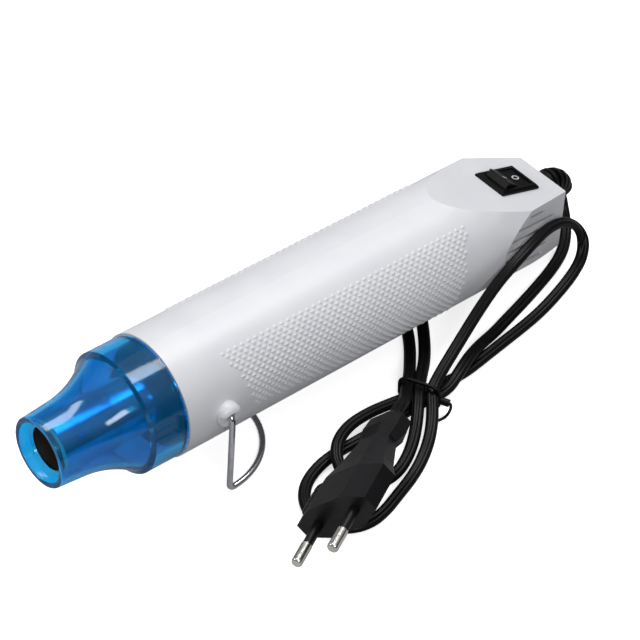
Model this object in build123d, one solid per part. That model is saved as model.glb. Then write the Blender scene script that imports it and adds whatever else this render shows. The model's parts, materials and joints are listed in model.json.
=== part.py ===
from build123d import *
import os
from math import asin, atan2, cos, degrees, hypot, pi, radians, sin, sqrt, tan

# Embossing heat tool: a slim hand-held hot-air tool with a wire stand and a tied-up mains cord.
# Millimetres. The tool is built in its own frame: its axis along X, the joint between the nozzle
# cover and the body at x = 0, the nozzle toward -X, the switch on top (+Z). It is then tipped
# nose-up onto its stand, so that the foot of the wire and the tail both touch the table at z = 0.

# Body
body_length = 186.0
body_radius = 23.4
body_taper = 0.3
wall = 2.2
fit_gap = 0.3
bond_gap = 0.1
overrun = 5.0
flat_rear_height = 6.0
flat_angle = 16.6
tail_width = 24.0
tail_side_angle = 15.2
tail_round = 2.0
guide_width = 1.6
guide_step = 0.8
guide_count = 4
bracket_stop_length = 1.6

# Side vents
vent_count = 6
vent_pitch = 4.1
vent_width = 1.3
vent_slope = 19.0
vent_rear_height = 1.4
vent_front_margin = 0.6
vent_rear_margin = 6.5

# Nozzle cover
cover_length = 46.5
cover_wall = 1.6
collar_step = 0.5
collar_length = 14.3
shoulder_drop = 1.4
shoulder_step = 0.9
neck_length = 11.5
mouth_radius = 13.2
neck_spread = 0.9
barrel_end_radius = mouth_radius + neck_spread
mouth_lip = 2.2
mouth_round = 0.7
skirt_length = 9.0
rib_count = 4
rib_thickness = 1.2

# Heater
mouth_air_gap = 2.3
barrel_radius = mouth_radius - mouth_air_gap
barrel_wall = 0.6
barrel_recess = 4.0
barrel_rear = 40.0
outlet_rim = 2.6
outlet_radius = barrel_radius - outlet_rim
barrel_bend = 1.2
sleeve_wall = 0.5
sleeve_inset = 3.0
card_side_gap = 4.0
card_half_width = barrel_radius - card_side_gap
card_thickness = 0.8
card_slot_gap = 0.1
coil_wire_radius = 0.5
coil_turns = 8
coil_pitch = 6.4
cutoff_length = 11.0
cutoff_width = 4.4
cutoff_thickness = 3.0
plate_thickness = 1.2
plate_hole_radius = 1.6
plate_hole_count = 8
ring_thickness = 3.0
ring_rim = 1.2
ring_window_count = 6

# Motor and fan
motor_start = 57.0
motor_length = 31.0
motor_radius = 12.2
motor_corner = 1.5
end_cap_length = 4.5
end_cap_radius = 11.4
board_thickness = 1.6
board_radius = 11.0
board_gap = 3.0
post_radius = 0.8
diode_length = 5.2
diode_radius = 1.35
diode_count = 4
diode_ring = 7.5
post_ring = 6.2
shaft_radius = 1.15
shaft_clearance = 0.05
shaft_reach = 13.0
bearing_boss_radius = 3.0
bearing_boss_length = 1.8
bracket_wall = 1.8
bridge_thickness = 1.4
bracket_arm_width = 3.0
bracket_arm_count = 5
bracket_depth = 12.0
fan_gap = 3.8
fan_length = 10.0
fan_hub_radius = 5.5
fan_blade_count = 7
fan_blade_thickness = 1.1
fan_blade_pitch = 38.0
fan_setback = 2.0
motor_screw_offset = 8.0
motor_screw_radius = 1.2
motor_screw_head = 2.2
motor_screw_length = 5.0
screw_head_height = 1.2

# Switch
switch_setback = 20.0
bezel_length = 19.4
bezel_width = 15.0
bezel_height = 1.5
bezel_edge = 0.8
bezel_rim = 2.1
housing_length = 16.6
housing_width = 12.2
housing_depth = 13.0
housing_wall = 1.1
rocker_gap = 0.25
rocker_sink = 0.2
rocker_tilt = 11.0
rocker_edge_round = 0.4
rocker_pivot_depth = 2.6
rocker_belly = 4.6
rocker_pin_radius = 1.0
rocker_pin_clearance = 0.06
tab_width = 4.8
tab_thickness = 0.8
tab_length = 7.5
tab_spacing = 7.0

# Stand
wire_radius = 1.1
stand_pivot_x = 15.6
stand_pivot_z = 0.8
stand_stand_off = 3.4
stand_drop = 34.0
stand_bend = 2.2
foot_bend = 2.0
stand_pin_length = 5.6
stand_pin_clearance = 0.05
boss_radius = 4.7
boss_clearance = 0.35
boss_edge_round = 0.4
brow_radius = 5.0
brow_rise = 1.2
brow_crown_round = 2.8
socket_length = 4.2
socket_height = 3.6
socket_depth = 1.2

# Cord outlet
outlet_height = 1.0
boot_neck_radius = 2.9
boot_core_radius = 3.5
boot_root_radius = 5.0
boot_rib_radius = 5.2
boot_tip_radius = 4.3
boot_rib_count = 5
boot_rib_thickness = 1.5
boot_bend_radius = 8.5
boot_turn = 80.0
boot_flange_radius = 5.4
boot_flange_thickness = 1.6
boot_root_length = 1.6
boot_lead_length = 6.0
cord_radius = 1.8
cord_tail_inside = 4.0

# Leads inside the body
lead_radius = 0.8
lead_floor_gap = 2.0
lead_spread = 20.0
lead_offset = 0.95
lead_straight = 1.6
lead_channel_width = 3.2
lead_channel_depth = 2.6
plate_lead_radius = 6.5
lead_bow_share = 0.9

# Plug
plug_length = 50.0
plug_width = 35.3
plug_thickness = 13.7
plug_flat_width = 17.0
plug_side_height = 6.0
plug_front = (-46.7, -72.7, 18.6)
plug_heading = 26.5
plug_roll = 45.6
pin_spacing = 18.6
pin_length = 19.0
pin_radius = 2.0
pin_sleeve_length = 10.0
pin_sleeve_radius = 1.8
pin_end_round = 0.9
plug_lead_length = 6.0

# Twist tie
tie_radius = 0.7
tie_half_width = 7.6
tie_height = 11.2
tie_corner = 3.2
tie_place = (21.6, -38.2)
tie_heading = 25.5

# A copy in a ring starts half a step round, clear of the pieces that stand on the centre lines.
half_share = 0.5

# Shares of the plug's length, width and thickness at its stations from the pins to the cord.
plug_station_shares = (
    (0.0, 1.0, 1.0),
    (0.33, 1.0, 1.0),
    (0.45, 0.78, 0.86),
    (0.73, 0.46, 0.64),
    (0.82, 0.58, 0.80),
    (0.93, 0.54, 0.74),
    (1.0, 0.30, 0.46),
)

# Where each vent slot starts and ends, as shares of the run from the front edge to the rear margin.
vent_run_shares = ((0.13, 0.63), (0.0, 1.0), (0.0, 1.0), (0.0, 1.0), (0.0, 0.92), (0.0, 0.78))

# Route of the cord from the strain relief to the plug, laid over the table. The first and last
# points are set by the strain relief and by the plug's tail.
lead_route = [
    (124.4, -4.6, 4.9),
    (120.2, -9.6, 2.5),
    (113.6, -14.9, 1.9),
    (104.6, -19.0, 1.9),
    (94.6, -22.2, 1.9),
    (84.4, -25.1, 1.9),
    (74.4, -27.6, 1.9),
    (65.0, -30.2, 2.1),
    (56.0, -32.8, 4.2),
    (47.0, -36.4, 6.4),
    (38.4, -40.2, 6.4),
    (30.8, -42.8, 4.8),
    (23.4, -40.8, 3.7),
]
outer_loop_route = [
    (13.2, -39.6, 2.6),
    (3.0, -39.2, 1.9),
    (-8.5, -38.7, 1.9),
    (-19.5, -38.2, 1.9),
    (-28.5, -39.8, 1.9),
    (-36.0, -43.4, 1.9),
    (-41.0, -49.2, 1.9),
    (-42.9, -56.2, 1.9),
    (-41.2, -63.2, 1.9),
    (-36.2, -68.6, 1.9),
    (-29.2, -70.9, 1.9),
    (-21.5, -69.8, 1.9),
    (-13.0, -66.9, 1.9),
    (-4.5, -64.1, 1.9),
    (3.5, -60.6, 2.9),
    (11.2, -55.8, 4.9),
    (18.2, -49.2, 7.0),
    (24.3, -41.4, 8.0),
]
top_loop_route = [
    (31.5, -38.4, 10.2),
    (39.8, -35.4, 12.4),
    (48.5, -32.4, 15.0),
    (58.0, -29.6, 18.8),
    (67.5, -27.7, 23.4),
    (77.0, -26.7, 27.2),
    (87.5, -24.4, 28.6),
    (98.0, -21.3, 27.6),
    (107.0, -19.9, 25.0),
    (113.2, -20.9, 20.4),
    (115.0, -23.9, 14.4),
    (111.6, -27.0, 9.0),
    (104.6, -29.4, 6.2),
    (96.0, -31.3, 4.2),
    (86.4, -33.0, 2.4),
    (76.0, -34.4, 1.9),
    (65.0, -35.6, 1.9),
    (54.0, -36.9, 1.9),
    (43.0, -38.3, 2.1),
    (32.0, -37.9, 2.8),
    (20.0, -35.7, 3.6),
]
inner_loop_route = [
    (10.4, -34.2, 4.5),
    (1.0, -33.6, 5.7),
    (-8.5, -34.3, 6.3),
    (-16.6, -37.8, 6.3),
    (-21.6, -43.6, 5.2),
    (-23.0, -50.0, 3.0),
    (-20.4, -56.0, 1.9),
    (-14.6, -59.4, 1.9),
    (-7.6, -59.5, 2.1),
    (-0.6, -57.0, 3.1),
    (6.0, -53.0, 4.8),
    (11.6, -48.2, 6.6),
    (16.6, -43.2, 7.8),
    (21.5, -38.0, 8.0),
]
back_loop_route = [
    (28.2, -31.9, 6.4),
    (34.8, -26.0, 3.0),
    (41.2, -19.2, 1.9),
    (48.4, -10.0, 1.9),
    (53.9, -1.4, 1.9),
    (60.1, 6.6, 1.9),
    (63.0, 15.6, 1.9),
    (60.8, 24.6, 1.9),
    (53.4, 29.6, 1.9),
    (44.8, 27.6, 1.9),
    (40.4, 20.0, 1.9),
    (41.4, 11.2, 1.9),
    (44.6, 2.8, 1.9),
    (43.8, -6.2, 1.9),
    (37.4, -15.4, 1.9),
    (30.6, -23.0, 3.2),
    (24.8, -29.2, 6.0),
]
tail_route = [
    (18.7, -34.9, 8.2),
    (13.0, -40.4, 11.6),
    (8.0, -45.2, 16.2),
]

# The tip onto the stand: the foot of the wire and the rounded end of the tail share the table.
tail_radius = body_radius - body_taper
stand_half_width = body_radius + stand_stand_off
foot_span = body_length - tail_round - stand_pivot_x
foot_drop = stand_drop - stand_pivot_z - (tail_radius - tail_round)
foot_lift = wire_radius - tail_round
tilt = degrees(asin(foot_lift / hypot(foot_span, foot_drop)) + atan2(foot_drop, foot_span))
tip_sine = sin(radians(tilt))
tip_cosine = cos(radians(tilt))
rear_reach = (
    (body_length - tail_round) * tip_cosine + (flat_rear_height - tail_round) * tip_sine + tail_round
)
front_reach = (
    (cover_length - mouth_round) * tip_cosine + (mouth_radius - mouth_round) * tip_sine + mouth_round
)
centre_x = (rear_reach - front_reach) / 2
joint_height = (
    (body_length - tail_round) * tip_sine + (tail_radius - tail_round) * tip_cosine + tail_round
)
rest = Location((-centre_x, 0, joint_height), (0, tilt, 0))

axis_plane = Plane.XZ
nodes = {}


def keep(name, shape, place=rest):
    nodes[name] = place * shape


def point_at_rest(x, y, z):
    return (rest * Location((x, y, z))).position


def rod(radius, start, end, y=0, z=0):
    """A round bar along X."""
    bar = Cylinder(radius, end - start, align=(Align.CENTER, Align.CENTER, Align.MIN))
    return Pos(start, y, z) * Rot(0, 90, 0) * bar


def ring(outer, inner, start, end):
    return rod(outer, start, end) - rod(inner, start - overrun, end + overrun)


def revolved(*points):
    """A solid of revolution about X from its outline of (x, radius) points."""
    outline = make_face(axis_plane * Polyline(*points, close=True))
    return revolve(outline, Axis.X)


def block(length, width, height, x=0, y=0, z=0, align=(Align.CENTER, Align.CENTER, Align.CENTER)):
    return Pos(x, y, z) * Box(length, width, height, align=align)


def radius_at(x):
    return body_radius + (tail_radius - body_radius) * x / body_length


def flat_height_at(x):
    return flat_rear_height + (body_length - x) * tan(radians(flat_angle))


def side_reach_at(x):
    return tail_width / 2 + (body_length - x) * tan(radians(tail_side_angle))


def half_space(origin, normal):
    """A block that fills the outer side of a plane, used to trim a form."""
    size = body_length
    return Plane(origin=origin, z_dir=normal) * Box(
        size, size, size, align=(Align.CENTER, Align.CENTER, Align.MIN)
    )


def body_form(inset):
    """The body's outer form, or the same form set in by the wall."""
    start = -overrun if inset else 0
    end = body_length - inset
    form = revolved(
        (start, 0), (start, radius_at(start) - inset), (end, radius_at(end) - inset), (end, 0)
    )
    slope = radians(flat_angle)
    top_normal = (sin(slope), 0, cos(slope))
    top_origin = (
        body_length - inset * top_normal[0], 0, flat_rear_height - inset * top_normal[2]
    )
    form -= half_space(top_origin, top_normal)
    turn = radians(tail_side_angle)
    for side in (-1, 1):
        normal = (sin(turn), side * cos(turn), 0)
        origin = (
            body_length - inset * normal[0], side * (tail_width / 2 - inset * cos(turn)), 0
        )
        form -= half_space(origin, normal)
    return form


def rear_edges(form):
    end_face = form.faces().sort_by(Axis.X)[-1]
    return end_face.edges()


def boss_face():
    return stand_half_width - wire_radius - boss_clearance


def boss_bar(end, edge_round):
    """A round bar from inside the wall out to an end plane, with its outer edge rounded."""
    seat = radius_at(stand_pivot_x) - wall / 2
    bar = Cylinder(boss_radius, end - seat, align=(Align.CENTER, Align.CENTER, Align.MIN))
    return Pos(0, 0, seat) * fillet(bar.edges().sort_by(Axis.Z)[-1], edge_round)


def boss():
    """The seat of the wire at the viewer's side: a flat-ended boss under a rounded brow that covers
    the elbow. The brow is arched below and open to the front, so that the wire can swing forward."""
    arch = Cylinder(brow_radius, stand_half_width, align=(Align.CENTER, Align.CENTER, Align.MIN))
    arch = Pos(0, wire_radius + brow_rise - brow_radius, boss_face()) * arch
    size = 3 * boss_radius
    front = Box(size, size, stand_half_width, align=(Align.MAX, Align.MAX, Align.MIN))
    front = Pos(0, wire_radius + boss_clearance, boss_face()) * front
    brow = boss_bar(stand_half_width + boss_clearance, brow_crown_round) - arch - front
    return Pos(stand_pivot_x, 0, stand_pivot_z) * Rot(90, 0, 0) * (boss_bar(boss_face(), boss_edge_round) + brow)


def boss_socket():
    """The hollow in the boss's end that the elbow turns in, and the bore of the wire's pin."""
    hollow = Box(socket_length, socket_height, socket_depth, align=(Align.CENTER, Align.CENTER, Align.MAX))
    bore = Cylinder(wire_radius + stand_pin_clearance, stand_half_width)
    hollow = Pos(0, 0, boss_face()) * hollow + Pos(0, 0, stand_half_width) * bore
    return Pos(stand_pivot_x, 0, stand_pivot_z) * Rot(90, 0, 0) * hollow


def vent_rise():
    """How far a vent slot climbs toward the nozzle, for each unit along the axis."""
    return tan(radians(vent_slope)) / cos(radians(tail_side_angle))


def vent_front(rear_height):
    """Where a slot's line meets the round of the body: a line on the side plane, cut by the cylinder."""
    spread = tan(radians(tail_side_angle))
    rise = vent_rise()
    square = spread**2 + rise**2
    half_linear = tail_width / 2 * spread + rear_height * rise
    constant = (tail_width / 2) ** 2 + rear_height**2 - tail_radius**2
    return body_length - (sqrt(half_linear**2 - square * constant) - half_linear) / square


def vent_slots():
    slots = []
    for index in range(vent_count):
        rear_height = vent_rear_height - index * vent_pitch
        front = vent_front(rear_height) + vent_front_margin
        run = body_length - vent_rear_margin - front
        start = front + run * vent_run_shares[index][0]
        end = front + run * vent_run_shares[index][1]
        middle = (start + end) / 2
        height = rear_height + (body_length - middle) * vent_rise()
        length = (end - start) / cos(radians(tail_side_angle)) / cos(radians(vent_slope))
        for side in (-1, 1):
            slot = Box(length, wall * 3, vent_width)
            turned = Rot(0, 0, -side * tail_side_angle) * Rot(0, vent_slope, 0) * slot
            slots.append(Pos(middle, side * side_reach_at(middle), height) * turned)
    return slots


def switch_place():
    """The frame of the switch: its origin on the sloped flat, +X down the slope to the rear."""
    slope = radians(flat_angle)
    switch_x = body_length - switch_setback
    return Plane(
        origin=(switch_x, 0, flat_height_at(switch_x)),
        x_dir=(cos(slope), 0, -sin(slope)),
        z_dir=(sin(slope), 0, cos(slope)),
    )


def front_ring_end():
    return skirt_length + bond_gap + ring_thickness


def guide_radius(step, x):
    """How near the axis the guide ribs come after a number of steps."""
    return radius_at(x) - wall - step * guide_step


def motor_end():
    return motor_start + motor_length


def guide_rib():
    """One stepped rib inside the body: each step stops one of the pieces that slide in from the front."""
    stops = (front_ring_end(), barrel_rear, motor_end())
    ends = (barrel_rear + bond_gap, motor_end() + bond_gap, motor_end() + bracket_stop_length)
    rib = None
    for step, (stop, end) in enumerate(zip(stops, ends), start=1):
        start = stop + bond_gap
        inner = guide_radius(step, start)
        outer = radius_at(end) - wall / 2
        part = block(
            end - start, guide_width, outer - inner, x=start, z=inner,
            align=(Align.MIN, Align.CENTER, Align.MIN),
        )
        rib = part if rib is None else rib + part
    return rib


def make_body():
    outer = fillet(rear_edges(body_form(0)), tail_round)
    outer += boss() + mirror(boss(), about=axis_plane)
    shell = outer - body_form(wall)
    shell -= boss_socket() + mirror(boss_socket(), about=axis_plane)
    for slot in vent_slots():
        shell -= slot
    window = Box(housing_length + 2 * bond_gap, housing_width + 2 * bond_gap, wall * 3)
    shell -= switch_place() * window
    hole_radius = boot_neck_radius + bond_gap
    shell -= rod(hole_radius, body_length - overrun, body_length + overrun, 0, outlet_height)
    for index in range(guide_count):
        shell += Rot(360 * (index + half_share) / guide_count, 0, 0) * guide_rib()
    return shell


def barrel_end():
    return cover_length - neck_length


def make_cover():
    collar_radius = body_radius - collar_step
    shoulder_radius = collar_radius - shoulder_drop
    with BuildSketch(axis_plane) as outline:
        with BuildLine():
            nose = Line((-cover_length, mouth_radius - mouth_lip), (-cover_length, mouth_radius))
            barrel = Line(nose @ 1, (-barrel_end(), barrel_end_radius))
            flare = TangentArc(barrel @ 1, (-collar_length - shoulder_step, shoulder_radius), tangent=barrel % 1)
            step = Line(flare @ 1, (-collar_length, collar_radius))
            collar = Line(step @ 1, (-fit_gap, collar_radius))
            back = Line(collar @ 1, (-fit_gap, radius_at(0) - wall - bond_gap))
            skirt = Line(back @ 1, (skirt_length, radius_at(skirt_length) - wall - bond_gap))
            end = Line(skirt @ 1, (skirt_length, radius_at(skirt_length) - wall - cover_wall))
            inside = Line(end @ 1, (-collar_length, radius_at(0) - wall - cover_wall))
            cone = TangentArc((-barrel_end(), barrel_end_radius - cover_wall), inside @ 1, tangent=barrel % 1)
            bore = Line(cone @ 0, (-cover_length + mouth_lip, mouth_radius - cover_wall))
            lip = Line(bore @ 1, nose @ 0)
        make_face()
    cover = revolve(outline.sketch, Axis.X)
    rims = [e for e in cover.edges().filter_by(GeomType.CIRCLE) if abs(e.center().X + cover_length) < fit_gap]
    cover = fillet(rims, mouth_round)
    inner = barrel_radius + bond_gap
    length = neck_length - barrel_recess
    for index in range(rib_count):
        rib = block(
            length, rib_thickness, mouth_radius - cover_wall / 2 - inner, x=-barrel_end(), z=inner,
            align=(Align.MAX, Align.CENTER, Align.MIN),
        )
        cover += Rot(360 * (index + half_share) / rib_count, 0, 0) * rib
    return cover


def barrel_start():
    return -cover_length + barrel_recess


def make_barrel():
    start = barrel_start()
    tube = ring(barrel_radius, barrel_radius - barrel_wall, start, barrel_rear)
    face = ring(barrel_radius, outlet_radius, start, start + barrel_wall)
    barrel = tube + face
    rim = [e for e in barrel.edges() if abs(e.center().X - start) < barrel_wall / 2 and e.length > 2 * pi * (barrel_radius - barrel_wall / 2)]
    return fillet(rim, barrel_bend * barrel_wall / 2)


def sleeve_radius():
    return barrel_radius - barrel_wall - bond_gap


def make_sleeve():
    outer = sleeve_radius()
    start = barrel_start() + barrel_wall + bond_gap
    return ring(outer, outer - sleeve_wall, start, barrel_rear)


def card_span():
    return barrel_start() + barrel_wall + sleeve_inset, barrel_rear


def make_card(upright):
    start, end = card_span()
    middle = (start + end) / 2
    length = end - start
    card = block(length, 2 * card_half_width, card_thickness, x=middle)
    slot_length = length / 2 + overrun
    gap = card_thickness + 2 * card_slot_gap
    if upright:
        slot = block(slot_length, gap, card_thickness + overrun, x=middle + fit_gap, align=(Align.MAX, Align.CENTER, Align.CENTER))
    else:
        slot = block(slot_length, gap, card_thickness + overrun, x=middle - fit_gap, align=(Align.MIN, Align.CENTER, Align.CENTER))
    card -= slot
    return Rot(90, 0, 0) * card if upright else card


def coil_radius():
    return card_half_width + coil_wire_radius + bond_gap


def make_coil():
    """The heating wire: a helix round the edges of the crossed cards."""
    length = coil_turns * coil_pitch
    start, end = card_span()
    middle = (start + end) / 2
    path = Helix(coil_pitch, length, coil_radius(), center=(0, 0, 0), direction=(0, 0, 1))
    section = Plane(path @ 0, z_dir=path % 0) * Circle(coil_wire_radius)
    wire = sweep(section, path, is_frenet=True)
    return Pos(middle - length / 2, 0, 0) * Rot(0, 90, 0) * wire


def make_cutoff():
    _, end = card_span()
    z = card_thickness / 2 + cutoff_thickness / 2
    y = card_half_width / 2 + card_thickness / 4
    body = block(cutoff_length, cutoff_width, cutoff_thickness, x=end - cutoff_length, y=y, z=z)
    return fillet(body.edges().filter_by(Axis.X), cutoff_thickness / 4)


def make_end_plate():
    plate = rod(barrel_radius, barrel_rear, barrel_rear + plate_thickness)
    for index in range(plate_hole_count):
        turn = 2 * pi * index / plate_hole_count
        reach = barrel_radius - 2 * plate_hole_radius
        plate -= rod(plate_hole_radius, barrel_rear - overrun, barrel_rear + overrun, reach * cos(turn), reach * sin(turn))
    return plate


def make_support_ring(end, step):
    """A spoked ring that centres the heater barrel in the body."""
    outer = guide_radius(step, end) - bond_gap
    inner = barrel_radius + bond_gap
    form = ring(outer, inner, end - ring_thickness, end)
    middle = (outer + inner) / 2
    for index in range(ring_window_count):
        turn = radians(360 * index / ring_window_count)
        window = rod(middle - inner - ring_rim, end - ring_thickness - overrun, end + overrun)
        form -= Pos(0, middle * cos(turn), middle * sin(turn)) * window
    return form


def make_motor_can():
    can = rod(motor_radius, motor_start, motor_end())
    can = fillet(can.edges().filter_by(GeomType.CIRCLE).sort_by(Axis.X)[-1], motor_corner)
    can += rod(bearing_boss_radius, motor_end() - motor_corner, motor_end() + bearing_boss_length)
    bore_start = motor_end() - motor_length / 3 - bond_gap
    can -= rod(shaft_radius + shaft_clearance, bore_start, motor_end() + overrun)
    for side in (-1, 1):
        hole = rod(motor_screw_radius + bond_gap, screw_seat() - motor_screw_length, motor_end() + overrun)
        can -= Pos(0, side * motor_screw_offset, 0) * hole
    return can


def screw_seat():
    return motor_end() + bond_gap + bridge_thickness


def make_end_cap():
    cap = rod(end_cap_radius, motor_start - end_cap_length, motor_start)
    front_edge = cap.edges().filter_by(GeomType.CIRCLE).sort_by(Axis.X)[0]
    cap = fillet(front_edge, motor_corner)
    for side in (-1, 1):
        cap += rod(post_radius, board_start() + board_thickness, motor_start - end_cap_length / 2, 0, side * post_ring)
    return cap


def board_start():
    return motor_start - end_cap_length - board_gap - board_thickness


def make_board():
    start = board_start()
    board = rod(board_radius, start, start + board_thickness)
    for index in range(diode_count):
        turn = 2 * pi * (index + half_share) / diode_count
        y, z = diode_ring * cos(turn), diode_ring * sin(turn)
        board -= rod(diode_radius / 2, start - overrun, start + overrun, y, z)
    return board


def make_diodes():
    """Four rectifier diodes standing on the board, as one group."""
    start = board_start()
    diodes = []
    for index in range(diode_count):
        turn = 2 * pi * (index + half_share) / diode_count
        y, z = diode_ring * cos(turn), diode_ring * sin(turn)
        lead = rod(diode_radius / 2 - bond_gap, start, start + board_thickness, y, z)
        diodes.append(rod(diode_radius, start - diode_length, start, y, z) + lead)
    return Compound(children=diodes)


def make_shaft():
    return rod(shaft_radius, motor_end() - motor_length / 3, motor_end() + shaft_reach)


def fan_start():
    return motor_end() + bearing_boss_length + fan_setback


def fan_radius():
    return body_radius - wall - fan_gap


def make_fan():
    """A hub with twisted blades, pressed on the motor's shaft."""
    start = fan_start()
    hub = rod(fan_hub_radius, start, start + fan_length)
    hub = fillet(hub.edges().filter_by(GeomType.CIRCLE).sort_by(Axis.X)[-1], fan_hub_radius / 3)
    blade_reach = fan_radius() + overrun
    twist = radians(fan_blade_pitch)
    chord = fan_length / cos(twist) + fan_blade_thickness
    for index in range(fan_blade_count):
        blade = Box(fan_blade_thickness, chord * 2, blade_reach, align=(Align.CENTER, Align.CENTER, Align.MIN))
        placed = Pos(start + fan_length / 2, 0, 0) * Rot(0, 0, 90 - fan_blade_pitch) * blade
        hub += Rot(360 * index / fan_blade_count, 0, 0) * placed & rod(fan_radius(), start, start + fan_length)
    return hub - rod(shaft_radius + bond_gap, start - overrun, start + fan_length / 2 + overrun)


def make_bracket():
    """The frame that carries the motor: a hub with a bridge, arms, and a rim that beds on the guides."""
    end = motor_end()
    start = end - bracket_depth
    rim_outer = guide_radius(2, end) - bond_gap
    hub_inner = motor_radius + bond_gap
    hub_outer = hub_inner + bracket_wall
    frame = ring(hub_outer, hub_inner, start, screw_seat())
    frame += ring(hub_outer, bearing_boss_radius + fit_gap, end + bond_gap, screw_seat())
    frame += ring(rim_outer, rim_outer - bracket_wall, start, end)
    for index in range(bracket_arm_count):
        arm = block(
            bracket_depth, bracket_arm_width, rim_outer - hub_outer, x=start,
            z=hub_outer - bracket_wall / 2, align=(Align.MIN, Align.CENTER, Align.MIN),
        )
        frame += Rot(360 * index / bracket_arm_count, 0, 0) * arm
    for side in (-1, 1):
        hole = rod(motor_screw_radius + bond_gap, end - bracket_wall, screw_seat() + overrun)
        frame -= Pos(0, side * motor_screw_offset, 0) * hole
        channel = block(
            bracket_depth + overrun, lead_channel_width, lead_channel_depth, x=start - overrun / 2,
            z=-rim_outer, align=(Align.MIN, Align.CENTER, Align.CENTER),
        )
        frame -= Rot(side * lead_spread, 0, 0) * channel
    return frame


def make_motor_screws():
    seat = screw_seat()
    screws = []
    for side in (-1, 1):
        y = side * motor_screw_offset
        shank = rod(motor_screw_radius, seat - motor_screw_length + bond_gap, seat, y)
        screws.append(shank + rod(motor_screw_head, seat, seat + screw_head_height, y))
    return Compound(children=screws)


def make_switch_housing():
    base = block(bezel_length, bezel_width, bezel_height, align=(Align.CENTER, Align.CENTER, Align.MIN))
    base = chamfer(base.faces().sort_by(Axis.Z)[-1].edges(), bezel_edge)
    depth = housing_depth + bezel_height / 2
    box = block(
        housing_length, housing_width, depth, z=bezel_height / 2,
        align=(Align.CENTER, Align.CENTER, Align.MAX),
    )
    well = block(
        bezel_length - 2 * bezel_rim, bezel_width - 2 * bezel_rim, housing_depth + overrun,
        z=housing_wall - housing_depth, align=(Align.CENTER, Align.CENTER, Align.MIN),
    )
    pin_hole = Rot(90, 0, 0) * Cylinder(rocker_pin_radius + rocker_pin_clearance, rocker_pin_length())
    pin_hole = Pos(0, 0, -rocker_pivot_depth) * pin_hole
    return Pos(0, 0, bond_gap) * (base + box - well) - pin_hole


def rocker_pin_length():
    return housing_width - housing_wall


def rocker_outline():
    """Side view of the rocker, level. Its ends stand upright against the well when pressed home."""
    half = bezel_length / 2 - bezel_rim - rocker_gap
    top = bezel_height + rocker_pivot_depth - rocker_sink
    turn = radians(rocker_tilt)

    def pressed(x, z):
        return x * cos(turn) - z * sin(turn), x * sin(turn) + z * cos(turn)

    edge_x, edge_z = pressed(half, top)
    foot_x, foot_z = pressed(half, -rocker_sink)
    with BuildSketch(axis_plane) as side:
        with BuildLine():
            Polyline(
                (-foot_x, foot_z), (-edge_x, edge_z), (0, edge_z - edge_x * tan(turn)),
                (edge_x, edge_z), (foot_x, foot_z),
            )
            ThreePointArc((foot_x, foot_z), (0, foot_z - rocker_belly), (-foot_x, foot_z))
        make_face()
    return side.sketch


def make_rocker():
    width = bezel_width - 2 * bezel_rim - 2 * rocker_gap
    rocker = extrude(rocker_outline(), width / 2, both=True)
    ends = rocker.edges().filter_by(Axis.Y).sort_by(Axis.Z)[-2:]
    rocker = fillet(ends, rocker_edge_round)
    rocker += Rot(90, 0, 0) * Cylinder(rocker_pin_radius, rocker_pin_length() - 2 * rocker_gap)
    return Pos(0, 0, -rocker_pivot_depth) * Rot(0, rocker_tilt, 0) * rocker


def make_terminals():
    tabs = []
    for side in (-1, 1):
        tab = block(
            tab_thickness, tab_width, tab_length, x=side * tab_spacing / 2, z=bond_gap - housing_depth,
            align=(Align.CENTER, Align.CENTER, Align.MAX),
        )
        tip = tab.edges().filter_by(Axis.X).sort_by(Axis.Z)[:2]
        tabs.append(chamfer(tip, tab_width / 4))
    return Compound(children=tabs)


def under_terminal(side, reach):
    """A point in line with one switch blade, the given reach below its tip, in the tool's frame."""
    depth = housing_depth + tab_length + reach
    spot = Location(switch_place()) * Location((side * tab_spacing / 2, 0, -depth))
    return spot.position


def cord_inner_end():
    return body_length - wall - boot_flange_thickness - cord_tail_inside


def make_inner_cord():
    """The end of the cord inside the tail, from the strain relief's flange to where the leads part."""
    return rod(cord_radius, cord_inner_end(), body_length - wall - boot_flange_thickness, 0, outlet_height)


def make_motor_leads():
    """Two short leads from the heater's end plate to the motor's board."""
    start = barrel_rear + plate_thickness
    return Compound(children=[rod(lead_radius, start, board_start(), y) for y in (-plate_lead_radius, plate_lead_radius)])


def lead_ring():
    return body_radius - wall - lead_floor_gap


def floor_point(x, turn):
    """A point over the body's floor, turned about the axis from straight down."""
    return x, lead_ring() * sin(radians(turn)), -lead_ring() * cos(radians(turn))


def route_live_lead():
    """From the cord's inner end down and forward, then up to the rear switch blade."""
    tip = under_terminal(1, 0)
    x, y, z = cord_inner_end(), -lead_offset, outlet_height
    fall = z - tip.Z
    return [
        (x, y, z),
        (x - lead_straight, y, z),
        (x - lead_straight - fall / 6, y, z - fall / 4),
        (x - lead_straight - fall / 5, y, z - fall * 2 / 3),
        (x - lead_straight - fall / 3, y, tip.Z - fall / 5),
        (tip.X + fall / 3, y / 2, tip.Z - fall / 2),
        tuple(under_terminal(1, 2 * lead_straight)),
        tuple(under_terminal(1, bond_gap)),
    ]


def route_neutral_lead():
    """From the cord's inner end down to the floor and along it to the heater's end plate."""
    x, z = cord_inner_end(), outlet_height
    low = floor_point(0, lead_spread)
    fall = z - low[2]
    bend = x - lead_straight
    return [
        (x, lead_offset, z),
        (bend, lead_offset, z),
        (bend - fall / 9, lead_offset, z - fall / 7),
        (bend - fall / 8, low[1] / 2, z - fall / 2),
        (bend - fall / 4, low[1], low[2] + fall / 7),
        floor_point(bend - fall / 2, lead_spread),
        *floor_run(bend - fall / 2, lead_spread),
    ]


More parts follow.
